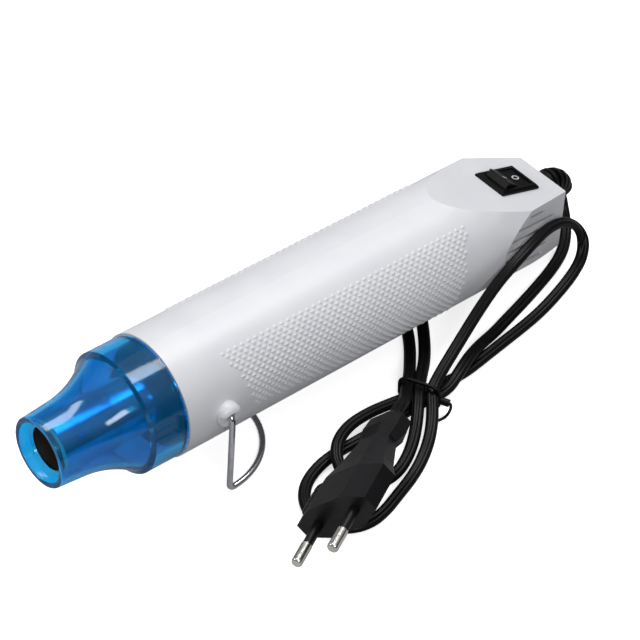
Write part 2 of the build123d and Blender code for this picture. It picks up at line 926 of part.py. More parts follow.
def route_switched_lead():
    """From the front switch blade down to the floor and along it to the heater's end plate."""
    tip = under_terminal(-1, 0)
    low = floor_point(0, -lead_spread)
    fall = tip.Z - low[2]
    return [
        tuple(under_terminal(-1, bond_gap)),
        tuple(under_terminal(-1, 2 * lead_straight)),
        (tip.X - fall / 2, low[1] * 2 / 3, tip.Z - fall * 2 / 3),
        floor_point(tip.X - 3 * fall / 2, -lead_spread),
        *floor_run(tip.X - 3 * fall / 2, -lead_spread),
    ]


def floor_run(start, turn):
    """The floor part of a lead: past the fan and motor, then up to the heater's end plate."""
    plate = barrel_rear + plate_thickness
    rise = plate_lead_radius
    side = sin(radians(turn))
    drop = cos(radians(turn))
    low = lead_ring()
    ramp = low - rise
    last = plate + bond_gap
    return [
        (start - (start - plate) / 2, low * side * lead_bow_share, -low * drop),
        floor_point(plate + ramp, turn),
        (plate + ramp / 2, (low + rise) / 2 * side, -(low + rise) / 2 * drop),
        (plate + ramp / 4, rise * side, -rise * drop),
        (last, rise * side, -rise * drop),
    ]


def corner_radii(points):
    """A radius for each corner of a route: 0.45 of the shorter run over the tangent of half the turn."""
    radii = []
    for before, here, after in zip(points, points[1:], points[2:]):
        a = Vector(*here) - Vector(*before)
        b = Vector(*after) - Vector(*here)
        turn = radians(a.get_angle(b))
        radii.append(0.45 * min(a.length, b.length) / tan(turn / 2))
    return radii


def tube(points, radius):
    radii = corner_radii(points)
    path = FilletPolyline(*points, radius=radii)
    solid = sweep(Plane(path @ 0, z_dir=path % 0) * Circle(radius), path)
    expected = pi * radius**2 * path.length
    ratio = solid.volume / expected
    print(f"tube length {path.length:.1f}, volume ratio {ratio:.4f}, least radius {min(radii):.2f}")
    return solid


def make_stand():
    """One bent wire, its pivot at the origin: legs square to the tool, and a half-round foot that lies
    level when the tool is tipped onto it."""
    half = stand_half_width
    inner = half - stand_bend - stand_pin_length
    level = Vector(tip_cosine, 0, tip_sine)
    reach = foot_bend * tan(radians(90 + tilt) / 2)
    corner = Vector(0, -half, -stand_drop)
    far_corner = Vector(0, half, -stand_drop)
    with BuildLine() as path:
        pin = Line((0, -inner, 0), (0, stand_bend - half, 0))
        neck = TangentArc(pin @ 1, (0, -half, -stand_bend), tangent=pin % 1)
        leg = Line(neck @ 1, corner + Vector(0, 0, reach))
        heel = TangentArc(leg @ 1, corner + level * reach, tangent=leg % 1)
        toe = Vector(0, 0, -stand_drop) + level * (reach + half)
        foot = TangentArc(heel @ 1, toe, tangent=heel % 1)
        far_foot = TangentArc(foot @ 1, far_corner + level * reach, tangent=foot % 1)
        far_heel = TangentArc(far_foot @ 1, far_corner + Vector(0, 0, reach), tangent=far_foot % 1)
        far_leg = Line(far_heel @ 1, (0, half, -stand_bend))
        far_neck = TangentArc(far_leg @ 1, (0, half - stand_bend, 0), tangent=far_leg % 1)
        Line(far_neck @ 1, (0, inner, 0))
    wire = path.line
    return sweep(Plane(wire @ 0, z_dir=wire % 0) * Circle(wire_radius), wire)


def boot_frame(travel):
    """Centre and heading of the strain relief after a travel along its bend."""
    root = body_length + boot_root_length
    turn = travel / boot_bend_radius
    x = root + boot_bend_radius * sin(turn)
    z = outlet_height - boot_bend_radius * (1 - cos(turn))
    return Vector(x, 0, z), Vector(cos(turn), 0, -sin(turn))


def boot_travel():
    return boot_bend_radius * radians(boot_turn)


def make_boot():
    """The ribbed strain relief: a flange inside the wall, a neck through it, and a bent ribbed core."""
    wall_inside = body_length - wall
    flange = rod(boot_flange_radius, wall_inside - boot_flange_thickness, wall_inside, 0, outlet_height)
    flange = flange & body_form(wall + fit_gap)
    neck = rod(boot_neck_radius, wall_inside - fit_gap, body_length + fit_gap, 0, outlet_height)
    root = rod(boot_root_radius, body_length, body_length + boot_root_length, 0, outlet_height)
    travel = boot_travel()
    start = boot_frame(0)[0]
    bend = ThreePointArc(start, boot_frame(travel / 2)[0], boot_frame(travel)[0])
    core = sweep(Plane(bend @ 0, z_dir=bend % 0) * Circle(boot_core_radius), bend)
    boot = flange + neck + root + core
    pitch = travel / boot_rib_count
    for index in range(boot_rib_count):
        centre, heading = boot_frame((index + 1) * pitch - boot_rib_thickness)
        radius = boot_rib_radius + (boot_tip_radius - boot_rib_radius) * index / (boot_rib_count - 1)
        boot += Plane(origin=centre, z_dir=heading) * Cylinder(radius, boot_rib_thickness)
    return boot


def boot_end(reach):
    """A point in line with the tip of the strain relief, the given reach past it, with the tool at rest."""
    centre, heading = boot_frame(boot_travel())
    spot = centre + heading * reach
    return tuple(point_at_rest(spot.X, spot.Y, spot.Z))


def plug_place():
    """The plug's frame: origin in the middle of the pin face, +X toward the cord."""
    return Location(plug_front, (0, 0, plug_heading)) * Location((0, 0, 0), (-plug_roll, 0, 0))


def plug_section(station, width_share, thickness_share):
    w, t = plug_width / 2 * width_share, plug_thickness / 2 * thickness_share
    flat = plug_flat_width / 2 * width_share
    side = plug_side_height / 2 * thickness_share
    corners = [(flat, t), (w, side), (w, -side), (flat, -t), (-flat, -t), (-w, -side), (-w, side), (-flat, t)]
    return make_face(Polyline(*[(station, y, z) for y, z in corners], close=True))


def make_plug_body():
    sections = [plug_section(plug_length * s, w, t) for s, w, t in plug_station_shares]
    body = loft(sections, ruled=True)
    for side in (-1, 1):
        body -= rod(pin_sleeve_radius + bond_gap, -overrun, pin_sleeve_length, side * pin_spacing / 2)
    return body


def make_pin_sleeves():
    sleeves = []
    for side in (-1, 1):
        y = side * pin_spacing / 2
        sleeves.append(rod(pin_sleeve_radius, -pin_sleeve_length, pin_sleeve_length - bond_gap, y))
    return Compound(children=sleeves)


def make_pin_tips():
    tips = []
    for side in (-1, 1):
        y = side * pin_spacing / 2
        tip = rod(pin_radius, -pin_length, -pin_sleeve_length, y)
        tips.append(fillet(tip.edges().filter_by(GeomType.CIRCLE).sort_by(Axis.X)[0], pin_end_round))
    return Compound(children=tips)


def plug_tail():
    return (plug_place() * Location((plug_length, 0, 0))).position


def plug_lead_in():
    """A point on the plug's axis behind its tail, so that the cord enters square."""
    return (plug_place() * Location((plug_length + plug_lead_length, 0, 0))).position


def make_tie():
    """A twist tie: a band round the strands with its twisted end at the viewer's side."""
    half, height, corner = tie_half_width, tie_height, tie_corner
    low = tie_radius + bond_gap
    with BuildLine() as path:
        FilletPolyline(
            (0, -half, height / 2), (0, -half, height), (0, half, height), (0, half, low), (0, -half, low),
            (0, -half, height / 2 - tie_radius / 4),
            radius=corner,
        )
    wire = path.line
    band = sweep(Plane(wire @ 0, z_dir=wire % 0) * Circle(tie_radius), wire)
    knot_start = -half - tie_radius / 2
    knot = Pos(0, knot_start, height / 2) * Rot(90, 0, 0) * Cylinder(
        2 * tie_radius, 5 * tie_radius, align=(Align.CENTER, Align.CENTER, Align.MIN)
    )
    place = Location((tie_place[0], tie_place[1], 0), (0, 0, tie_heading))
    return place * (band + knot)


def least_self_gap(points, radius):
    """The least gap of a route to itself, measured on points along it."""
    path = FilletPolyline(*points, radius=corner_radii(points))
    count = int(path.length / radius)
    step = path.length / count
    places = [path @ (i / count) for i in range(count + 1)]
    far = int(8 * radius / step)
    least = path.length
    for i, a in enumerate(places):
        for b in places[i + far:]:
            least = min(least, (a - b).length)
    return least - 2 * radius


def middle_point(a, b):
    return tuple((p + q) / 2 for p, q in zip(a, b))


def cord_parts():
    """The route cut into lead, hank and tail, each cut in the middle of a straight run at the tie."""
    hank = outer_loop_route + top_loop_route + inner_loop_route + back_loop_route
    first = middle_point(lead_route[-1], hank[0])
    second = middle_point(hank[-1], tail_route[0])
    lead = [boot_end(0), boot_end(boot_lead_length)] + lead_route + [first]
    tail = [second] + tail_route + [tuple(plug_lead_in()), tuple(plug_tail())]
    return lead, [first] + hank + [second], tail


keep("body_shell", make_body())
keep("nozzle_cover", make_cover())
keep("heater_barrel", make_barrel())
keep("mica_sleeve", make_sleeve())
keep("mica_card_flat", make_card(False))
keep("mica_card_upright", make_card(True))
keep("heating_coil", make_coil())
keep("thermal_cutoff", make_cutoff())
keep("barrel_end_plate", make_end_plate())
keep("front_support_ring", make_support_ring(front_ring_end(), 0))
keep("rear_support_ring", make_support_ring(barrel_rear, 1))
keep("motor_can", make_motor_can())
keep("motor_end_cap", make_end_cap())
keep("rectifier_board", make_board())
keep("rectifier_diodes", make_diodes())
keep("motor_shaft", make_shaft())
keep("fan_impeller", make_fan())
keep("motor_bracket", make_bracket())
keep("motor_screws", make_motor_screws())
keep("switch_housing", switch_place() * make_switch_housing())
keep("switch_rocker", switch_place() * make_rocker())
keep("switch_terminals", switch_place() * make_terminals())
keep("cord_inner_end", make_inner_cord())
keep("motor_leads", make_motor_leads())
keep("live_lead", tube(route_live_lead(), lead_radius))
keep("neutral_lead", tube(route_neutral_lead(), lead_radius))
keep("switched_lead", tube(route_switched_lead(), lead_radius))
keep("stand_wire", Pos(stand_pivot_x, 0, stand_pivot_z) * make_stand())
keep("strain_relief", make_boot())

table = Location((0, 0, 0))
lead_points, hank_points, tail_points = cord_parts()
whole_route = lead_points[:-1] + hank_points[1:-1] + tail_points[1:]
print("least gap of the cord to itself", round(least_self_gap(whole_route, cord_radius), 2))
print("corner radii", [round(r, 1) for r in corner_radii(whole_route)])
keep("cord_lead", tube(lead_points, cord_radius), table)
keep("cord_hank", tube(hank_points, cord_radius), table)
keep("cord_tail", tube(tail_points, cord_radius), table)
keep("twist_tie", make_tie(), table)
keep("plug_body", make_plug_body(), plug_place())
keep("plug_pin_sleeves", make_pin_sleeves(), plug_place())
keep("plug_pin_tips", make_pin_tips(), plug_place())

os.makedirs("parts", exist_ok=True)
for name, shape in nodes.items():
    export_step(shape, f"parts/{name}.step")
print("tilt", round(tilt, 3), "centre", round(centre_x, 3), "joint height", round(joint_height, 3))
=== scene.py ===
import json

import bpy
import numpy as np
from mathutils import Matrix, Vector


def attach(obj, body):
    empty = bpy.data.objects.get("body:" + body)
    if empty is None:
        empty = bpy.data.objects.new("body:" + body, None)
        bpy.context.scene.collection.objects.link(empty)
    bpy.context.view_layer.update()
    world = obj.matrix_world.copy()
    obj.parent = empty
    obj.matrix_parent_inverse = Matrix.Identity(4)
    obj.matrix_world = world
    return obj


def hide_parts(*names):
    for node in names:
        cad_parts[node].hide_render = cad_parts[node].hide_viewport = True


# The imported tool: every rigid piece is already in place, and lengths are metres. MM turns a size in
# millimetres into them.
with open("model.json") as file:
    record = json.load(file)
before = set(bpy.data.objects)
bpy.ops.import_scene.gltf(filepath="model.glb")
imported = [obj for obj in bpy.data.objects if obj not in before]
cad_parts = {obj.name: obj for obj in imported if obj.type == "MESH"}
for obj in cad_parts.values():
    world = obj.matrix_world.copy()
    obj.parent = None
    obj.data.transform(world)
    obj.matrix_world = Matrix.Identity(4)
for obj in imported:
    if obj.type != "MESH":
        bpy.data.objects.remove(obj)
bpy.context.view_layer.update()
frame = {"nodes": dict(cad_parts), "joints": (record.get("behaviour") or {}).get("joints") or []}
MM = 0.001

# Table and light: a sweep of white card under three soft lamps, in a grey room. None of it is part
# of the object. Only the camera sees the card and the room as pure white: other rays meet a greyer
# one, so that black plastic stays black and bright metal keeps its dark edges.


def linear(text):
    """A colour written as sRGB hex, in the linear values that the shaders take."""
    c = np.array([int(text[i:i + 2], 16) for i in (1, 3, 5)]) / 255
    low = c / 12.92
    high = ((c + 0.055) / 1.055) ** 2.4
    return (*np.where(c <= 0.04045, low, high), 1.0)


def add(tree, kind, inputs=None, stops=(), **settings):
    """Adds a node. inputs maps a socket's name or number to a value, or to the output that it is
    linked to. stops are the places and hex colours of a colour ramp, two or more."""
    made = tree.nodes.new("ShaderNode" + kind)
    for key, value in settings.items():
        setattr(made, key, value)
    for key, value in (inputs or {}).items():
        socket = made.inputs[key]
        if isinstance(value, bpy.types.NodeSocket):
            tree.links.new(value, socket)
        else:
            socket.default_value = value
    for _ in stops[2:]:
        made.color_ramp.elements.new(0.5)
    for index, (place, colour) in enumerate(stops):
        made.color_ramp.elements[index].position = place
        made.color_ramp.elements[index].color = linear(colour)
    return made


def material(name):
    """A new material with only its output node. Returns the material, its tree and the output."""
    made = bpy.data.materials.new(name)
    made.use_nodes = True
    tree = made.node_tree
    tree.nodes.clear()
    return made, tree, add(tree, "OutputMaterial")


def surface(name, points, faces, smooth=True):
    """A mesh object from an array of points and a list of faces, linked to the scene at the origin."""
    mesh = bpy.data.meshes.new(name)
    mesh.from_pydata(points.reshape(-1, 3).tolist(), [], faces)
    mesh.update()
    mesh.polygons.foreach_set("use_smooth", [smooth] * len(mesh.polygons))
    made = bpy.data.objects.new(name, mesh)
    bpy.context.scene.collection.objects.link(made)
    return made


def grid_faces(rows, columns, closed=False):
    """Quads between neighbours of a grid of rows by columns, joined round the columns if closed."""
    row = np.arange(rows - 1)[:, None] * columns
    next_row = row + columns
    column = np.arange(columns if closed else columns - 1)[None, :]
    beside = (column + 1) % columns
    return np.stack([row + column, row + beside, next_row + beside, next_row + column], -1).reshape(-1, 4)


FLOOR_REACH = 3.0
FLOOR_BEND = 0.8
FLOOR_STEPS = 24
BACK_HEIGHT = 2.6
FLOOR_WAY = np.array([0.6, 0.8])
FLOOR_ACROSS = np.array([0.8, -0.6])

# Straight along the table, up a quarter circle, and straight up at the back.
bend = np.linspace(0, np.pi / 2, FLOOR_STEPS)
run = np.concatenate([[-FLOOR_REACH], FLOOR_REACH - FLOOR_BEND + FLOOR_BEND * np.sin(bend), [FLOOR_REACH]])
rise = np.concatenate([[0.0], FLOOR_BEND * (1 - np.cos(bend)), [BACK_HEIGHT]])
edges = np.array([-FLOOR_REACH, FLOOR_REACH])
plan = run[:, None, None] * FLOOR_WAY + edges[None, :, None] * FLOOR_ACROSS
sweep = np.concatenate([plan, np.repeat(rise[:, None, None], 2, axis=1)], axis=-1)
floor = surface("table", sweep, grid_faces(len(run), 2).tolist())

# White card: matt, and burnt out as in a product photograph. It shows at full strength to the
# camera, in part through the blue cover, and faintly as a reflection.
CARD_WHITE = "#ffffff"
CARD_GREY = "#8c8c8e"
CARD_GLOW = 0.66
SEEN_THROUGH_SHARE = 0.45
REFLECTED_SHARE = 0.13

paper, tree, out = material("white_card")
rays = add(tree, "LightPath").outputs
seen_through = {0: rays["Is Transmission Ray"], 1: SEEN_THROUGH_SHARE, 2: rays["Is Camera Ray"]}
seen = add(tree, "Math", seen_through, operation="MULTIPLY_ADD").outputs[0]
reflected = {0: rays["Is Glossy Ray"], 1: REFLECTED_SHARE, 2: seen}
seen = add(tree, "Math", reflected, operation="MULTIPLY_ADD").outputs[0]
card_tones = {"Factor": seen, 6: linear(CARD_GREY), 7: linear(CARD_WHITE)}
card_tone = add(tree, "Mix", card_tones, data_type="RGBA").outputs[2]
card = add(tree, "BsdfDiffuse", {"Color": card_tone}).outputs[0]
glow = add(tree, "Emission", {"Color": linear(CARD_WHITE), "Strength": CARD_GLOW}).outputs[0]
lit_card = add(tree, "AddShader", {0: card, 1: glow}).outputs[0]
shown_card = add(tree, "MixShader", {0: seen, 1: card, 2: lit_card}).outputs[0]
tree.links.new(shown_card, out.inputs["Surface"])
floor.data.materials.append(paper)

# The room is dim near the horizon and light above. Its tones go with the height of a ray's way.
ROOM_TONES = [(0.0, "#1c1c1e"), (0.3, "#4a4a4c"), (0.75, "#c4c4c6")]

world = bpy.data.worlds.new("studio")
world.use_nodes = True
bpy.context.scene.world = world
sky = world.node_tree
sky.nodes.clear()
way = add(sky, "TexCoord").outputs["Generated"]
height = add(sky, "SeparateXYZ", {"Vector": way}).outputs["Z"]
room = add(sky, "ValToRGB", {"Fac": height}, stops=ROOM_TONES).outputs["Color"]
sky_rays = add(sky, "LightPath").outputs
sky_tones = {"Factor": sky_rays["Is Camera Ray"], 6: room, 7: linear(CARD_WHITE)}
sky_tone = add(sky, "Mix", sky_tones, data_type="RGBA").outputs[2]
backdrop = add(sky, "Background", {"Color": sky_tone, "Strength": 1.0}).outputs[0]
add(sky, "OutputWorld", {"Surface": backdrop})

# Soft boxes: name, place, the point that it faces, its two sides and its watts.
LAMPS = (
    ("overhead", (0.45, 0.27, 1.28), (0, 0, 0), (1.1, 0.3), 9.6),
    ("back_left", (-0.9, 0.7, 0.8), (0, 0, 0.02), (0.5, 0.5), 5.0),
    ("front_left", (-0.5, -1.0, 0.9), (0, 0, 0.02), (0.6, 0.25), 6.2),
)

for name, place, target, sides, watts in LAMPS:
    light = bpy.data.lights.new(name, "AREA")
    light.shape = "RECTANGLE"
    light.size, light.size_y = sides
    light.energy = watts
    lamp = bpy.data.objects.new(name, light)
    bpy.context.scene.collection.objects.link(lamp)
    lamp.location = place
    lamp.rotation_euler = (Vector(target) - Vector(place)).to_track_quat("-Z", "Y").to_euler()

# Camera: it looks down at the tool from its left front, from far off through a long lens. Its
# place and turn were fitted to the outlines in the photograph.
CAMERA_PLACE = np.array([-518.44, -619.62, 824.88]) * MM
CAMERA_ELEVATION = np.radians(44.63)
CAMERA_HEADING = np.radians(40.34)
CAMERA_ROLL = np.radians(0.09)
FOCAL_PIXELS = 3214.0
FRAME_PIXELS = 640.0
SENSOR_WIDTH_MM = 36.0
SIGHT_REACH = 20.0

down = np.array([0, 0, -1.0])
level = np.array([np.sin(CAMERA_HEADING), np.cos(CAMERA_HEADING), 0.0])
forward = np.cos(CAMERA_ELEVATION) * level + np.sin(CAMERA_ELEVATION) * down
right = np.cross(down, forward)
right /= np.linalg.norm(right)
up = np.cross(right, forward)
turned_right = right * np.cos(CAMERA_ROLL) + up * np.sin(CAMERA_ROLL)
turned_up = up * np.cos(CAMERA_ROLL) - right * np.sin(CAMERA_ROLL)
camera_data = bpy.data.cameras.new("camera")
camera_data.sensor_width = SENSOR_WIDTH_MM
camera_data.lens = FOCAL_PIXELS / FRAME_PIXELS * SENSOR_WIDTH_MM
camera_data.clip_end = SIGHT_REACH
camera = bpy.data.objects.new("camera", camera_data)
bpy.context.scene.collection.objects.link(camera)
turn = Matrix(np.stack([turned_right, turned_up, -forward], axis=1).tolist()).to_4x4()
camera.matrix_world = Matrix.Translation(CAMERA_PLACE.tolist()) @ turn
bpy.context.scene.camera = camera
bpy.context.scene.view_settings.view_transform = "Standard"

# Body shell: one white ABS moulding with the bosses that hold the stand, the sloped flat for the
# switch and the vents of the tail. It comes from the frame as it is.
NODES = frame["nodes"]
CLOUD_SIZE = 14 * MM
# Where the noise is below the first place the moulding has its darker tone, and above the second
# its lighter one. The roughness goes from the first difference to the second with the noise.
CLOUD_PLACES = (0.3, 0.7)
CLOUD_ROUGHNESS = (-0.04, 0.05)


def moulded(name, colour, shade, roughness, grain_mm, depth_mm, specular=0.5):
    """Moulded plastic: a soft cloud in its colour and roughness, and bumps from the grain of the etched
    mould. The grain and its depth are coarser than real ones, so that they show."""
    made, tree, out = material(name)
    spot = add(tree, "TexCoord").outputs["Object"]
    cloud = add(tree, "TexNoise", {"Vector": spot, "Scale": 1 / CLOUD_SIZE, "Detail": 3.0}).outputs["Fac"]
    stops = list(zip(CLOUD_PLACES, (shade, colour)))
    tint = add(tree, "ValToRGB", {"Fac": cloud}, stops=stops).outputs["Color"]
    rough_range = {0: cloud, 3: roughness + CLOUD_ROUGHNESS[0], 4: roughness + CLOUD_ROUGHNESS[1]}
    rough = add(tree, "MapRange", rough_range).outputs[0]
    grain_scale = 1 / (grain_mm * MM)
    grain = add(tree, "TexNoise", {"Vector": spot, "Scale": grain_scale, "Detail": 2.0}).outputs["Fac"]
    bumps = add(tree, "Bump", {"Height": grain, "Distance": depth_mm * MM}).outputs["Normal"]
    body = add(tree, "BsdfPrincipled", {
        "Base Color": tint, "Roughness": rough, "IOR": 1.53, "Specular IOR Level": specular,
        "Normal": bumps,
    })
    tree.links.new(body.outputs[0], out.inputs["Surface"])
    return made


def dress(finish, *names):
    """Gives nodes of the frame their material."""
    for name in names:
        mesh = NODES[name].data
        mesh.materials.clear()
        mesh.materials.append(finish)


# ABS from a lightly etched mould: white with a soft satin sheen.
WHITE_ABS = moulded("white_abs_moulded", "#dfe0e3", "#dadbdf", roughness=0.36, grain_mm=0.5, depth_mm=0.008)
dress(WHITE_ABS, "body_shell")

# Grip patches: one on each side of the body, a field of small pyramids moulded with the shell in
# the same white ABS. They stand in diagonal rows from behind the stand's boss to the tail, and the
# ends of the field slant.
FAN_X = 88.0 * MM
BODY_LENGTH = 186.0 * MM
GRIP_STEP = 1.45 * MM
GRIP_HEIGHT = 0.42 * MM
GRIP_EDGE_SHARE = 0.45
GRIP_SINK = 0.12 * MM
GRIP_FADE = 4.0 * MM
GRIP_RADIUS_FRONT = 23.4 * MM
GRIP_RADIUS_TAIL = 23.1 * MM
# The field's edges. The top is an angle above the side, in degrees. Front and rear are pairs of an
# angle and its x in millimetres, and the low edge is pairs of an x and its angle.
GRIP_TOP = 59.0
GRIP_FRONT = np.array([[-58, 42.0], [-8, 28.0], [11, 24.8], [31, 21.8], [58, 17.5]])
GRIP_REAR = np.array([[-58, 121.0], [-2, 126.5], [26, 128.9], [58, 135.0]])
GRIP_LOW = np.array([[24.0, -10.0], [60.0, -22.0], [126.0, -42.0]])


def joint(name):
    """The frame's record of a joint, with its place and axis at rest."""
    return next(j for j in frame["joints"] if j["name"] == name)


# The tool's own frame: its axis runs from the nozzle to the tail, and x is measured from the joint
# behind the nozzle cover. The fan's shaft gives both, tipped nose-up as the tool stands.
AXIS = np.array(joint("fan_spin")["axis"])
SIDE = np.array([0.0, 1.0, 0.0])
UP = np.cross(AXIS, SIDE)
JOINT_POINT = np.array(joint("fan_spin")["pos_m"]) - FAN_X * AXIS


def at_rest(points):
    """Points in the tool's own frame, moved to where the tool rests on its stand."""
    p = np.asarray(points, float)
    return JOINT_POINT + p[..., :1] * AXIS + p[..., 1:2] * SIDE + p[..., 2:3] * UP


def grip_patch(name, side):
    """A grid on the body's cylinder. Every second point, as on a chessboard, is the peak of a
    pyramid whose four corners are its neighbours. They get lower toward the edge of the field."""
    low = GRIP_LOW[:, 1].min()
    start, stop = GRIP_FRONT[:, 1].min() * MM, GRIP_REAR[:, 1].max() * MM
    rows = int((stop - start) / GRIP_STEP)
    columns = int(np.radians(GRIP_TOP - low) * GRIP_RADIUS_FRONT / GRIP_STEP)
    row, column = np.meshgrid(np.arange(rows + 1), np.arange(columns + 1), indexing="ij")
    x = start + row * GRIP_STEP
    angle = np.radians(GRIP_TOP) - column * GRIP_STEP / GRIP_RADIUS_FRONT
    degrees = np.degrees(angle)
    front = x - np.interp(degrees, *GRIP_FRONT.T) * MM
    rear = np.interp(degrees, *GRIP_REAR.T) * MM - x
    bottom = np.radians(degrees - np.interp(x / MM, *GRIP_LOW.T)) * GRIP_RADIUS_FRONT
    top = np.radians(GRIP_TOP - degrees) * GRIP_RADIUS_FRONT
    margin = np.minimum(np.minimum(front, rear), np.minimum(bottom, top)) - GRIP_STEP
    inner = (row > 0) & (row < rows) & (column > 0) & (column < columns)
    peak = ((row + column) % 2 == 0) & (margin > 0) & inner
    fade = np.clip(np.minimum(top, bottom) / GRIP_FADE, 0, 1)
    lift = GRIP_HEIGHT * (GRIP_EDGE_SHARE + (1 - GRIP_EDGE_SHARE) * fade)
    radius = GRIP_RADIUS_FRONT + (GRIP_RADIUS_TAIL - GRIP_RADIUS_FRONT) * x / BODY_LENGTH
    reach = np.where(peak, radius + lift, radius - GRIP_SINK)
    points = at_rest(np.stack([x, side * reach * np.cos(angle), reach * np.sin(angle)], -1))
    a, b = np.nonzero(peak)
    number = np.arange(peak.size).reshape(peak.shape)
    corners = [number[a - 1, b], number[a, b - 1], number[a + 1, b], number[a, b + 1]]
    slopes = [np.stack([corners[k], corners[(k + 1) % 4], number[a, b]], -1) for k in range(4)]
    faces = np.concatenate(slopes)
    if side > 0:
        faces = faces[:, ::-1]
    used, faces = np.unique(faces, return_inverse=True)
    made = surface(name, points.reshape(-1, 3)[used], faces.reshape(-1, 3).tolist(), smooth=False)
    made.data.materials.append(WHITE_ABS)
    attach(made, "tool")


for grip_name, grip_side in (("grip_patch_left", -1), ("grip_patch_right", 1)):
    grip_patch(grip_name, grip_side)

# Nozzle cover: one translucent blue polycarbonate moulding with an even wall, pushed into the front
# of the body. It is polished outside and clear enough to show the bright barrel in it.
COVER_WAVE = 9 * MM
COVER_WAVE_DEPTH = 0.05 * MM
COVER_TINTS = [(0.35, "#1a9fe0"), (0.65, "#28ade9")]

# Polycarbonate from a polished mould: clear, deep blue where the wall is seen edge on, with sharp
# highlights that waver a little, as on any thin moulding.
blue, tree, out = material("blue_polycarbonate")
spot = add(tree, "TexCoord").outputs["Object"]
wave = add(tree, "TexNoise", {"Vector": spot, "Scale": 1 / COVER_WAVE, "Detail": 1.0}).outputs["Fac"]
tint = add(tree, "ValToRGB", {"Fac": wave}, stops=COVER_TINTS).outputs["Color"]
ripple = add(tree, "Bump", {"Height": wave, "Distance": COVER_WAVE_DEPTH}).outputs["Normal"]
cover = add(tree, "BsdfPrincipled", {
    "Base Color": tint, "Roughness": 0.08, "IOR": 1.45, "Specular IOR Level": 0.36,
    "Transmission Weight": 0.88, "Normal": ripple,
})
tree.links.new(cover.outputs[0], out.inputs["Surface"])
dress(blue, "nozzle_cover")

# Heater: a rolled stainless tube lined with mica. Two mica cards, slotted into a cross, carry the
# coiled heating wire and the thermal cut-off, and an end plate with air holes closes the tube.
MARK_DEPTH = 0.004 * MM
# Places of the two tones, as for mouldings, and the shares of the roughness that go with the noise.
MARK_PLACES = (0.3, 0.7)
MARK_ROUGHNESS = (0.7, 1.5)


def metal(name, colour, shade, roughness, grain_mm, stretch=(1.0, 1.0, 1.0)):
    """Bright metal: faint marks from drawing or plating, in its colour, roughness and level. A
    stretch below 1 draws the marks out along that axis."""
    made, tree, out = material(name)
    place = add(tree, "TexCoord").outputs["Object"]
    spot = add(tree, "Mapping", {"Vector": place, "Scale": stretch}).outputs[0]
    grain_scale = 1 / (grain_mm * MM)
    marks = add(tree, "TexNoise", {"Vector": spot, "Scale": grain_scale, "Detail": 3.0}).outputs["Fac"]
    stops = list(zip(MARK_PLACES, (shade, colour)))
    tint = add(tree, "ValToRGB", {"Fac": marks}, stops=stops).outputs["Color"]
    rough_range = {0: marks, 3: roughness * MARK_ROUGHNESS[0], 4: roughness * MARK_ROUGHNESS[1]}
    rough = add(tree, "MapRange", rough_range).outputs[0]
    bumps = add(tree, "Bump", {"Height": marks, "Distance": MARK_DEPTH}).outputs["Normal"]
    body = add(tree, "BsdfPrincipled", {
        "Base Color": tint, "Metallic": 1.0, "Roughness": rough, "Normal": bumps,
    })
    tree.links.new(body.outputs[0], out.inputs["Surface"])
    return made


# Stainless sheet, polished and rolled: it mirrors in long bands. Heating wire, drawn and oxidised:
# dull grey. Mica, pressed in sheets: dark and waxy.
ALONG_TUBE = (0.3, 1.0, 1.0)
STAINLESS = metal(
    "stainless_polished", "#e3e4e6", "#cfd1d4", roughness=0.16, grain_mm=3.0, stretch=ALONG_TUBE,
)
NICHROME = metal("nichrome_wire", "#8d8986", "#6e6a67", roughness=0.4, grain_mm=0.8)
MICA = moulded("mica_sheet", "#3a3226", "#2a241b", roughness=0.5, grain_mm=0.7, depth_mm=0.02)
dress(STAINLESS, "heater_barrel", "thermal_cutoff")
dress(NICHROME, "heating_coil")
dress(MICA, "mica_sleeve", "mica_card_flat", "mica_card_upright", "barrel_end_plate")

# Fan, motor and rectifier: hidden in the body. The motor hangs in a moulded bracket and drives the
# fan, the barrel sits in two moulded rings, and a small board behind the motor feeds it.

# Heat-resisting plastic, moulded: cream and satin. Zinc plated steel: grey and soft. Phenolic
# board, pressed: brown and matt. Nylon, moulded: black and close to matt.
INNER_PLASTIC = moulded(
    "heat_resisting_plastic", "#cbc6b8", "#bdb7a7", roughness=0.45, grain_mm=0.6, depth_mm=0.01,
)
STEEL_PLATED = metal("steel_zinc_plated", "#b9bbbd", "#9a9c9f", roughness=0.35, grain_mm=1.2)
BOARD = moulded("phenolic_board", "#6b4a24", "#5a3c1c", roughness=0.55, grain_mm=0.5, depth_mm=0.01)
BLACK_NYLON = moulded(
    "black_nylon_moulded", "#08080a", "#050506", roughness=0.4, grain_mm=0.4, depth_mm=0.01, specular=0.12,
)
dress(INNER_PLASTIC, "front_support_ring", "rear_support_ring")
dress(INNER_PLASTIC, "motor_end_cap", "fan_impeller", "motor_bracket")
dress(STEEL_PLATED, "motor_can", "motor_shaft", "motor_screws")
dress(BOARD, "rectifier_board")
dress(BLACK_NYLON, "rectifier_diodes")

# Stand: one length of bright stainless wire. Its ends are pins in the two bosses, and its middle is
# bent to a half circle that stands on the table.

# Stainless wire, drawn: bright, with fine marks along it.
ALONG_WIRE = (1.0, 1.0, 0.2)
WIRE = metal(
    "stainless_wire_bright", "#d9dadc", "#bfc1c4", roughness=0.14, grain_mm=0.6, stretch=ALONG_WIRE,
)
dress(WIRE, "stand_wire")

# Switch: a black nylon housing with its bezel, snapped into the body, and a rocker with two faces
# that meet at a fold over its pin. The usual O and I are printed on the faces.

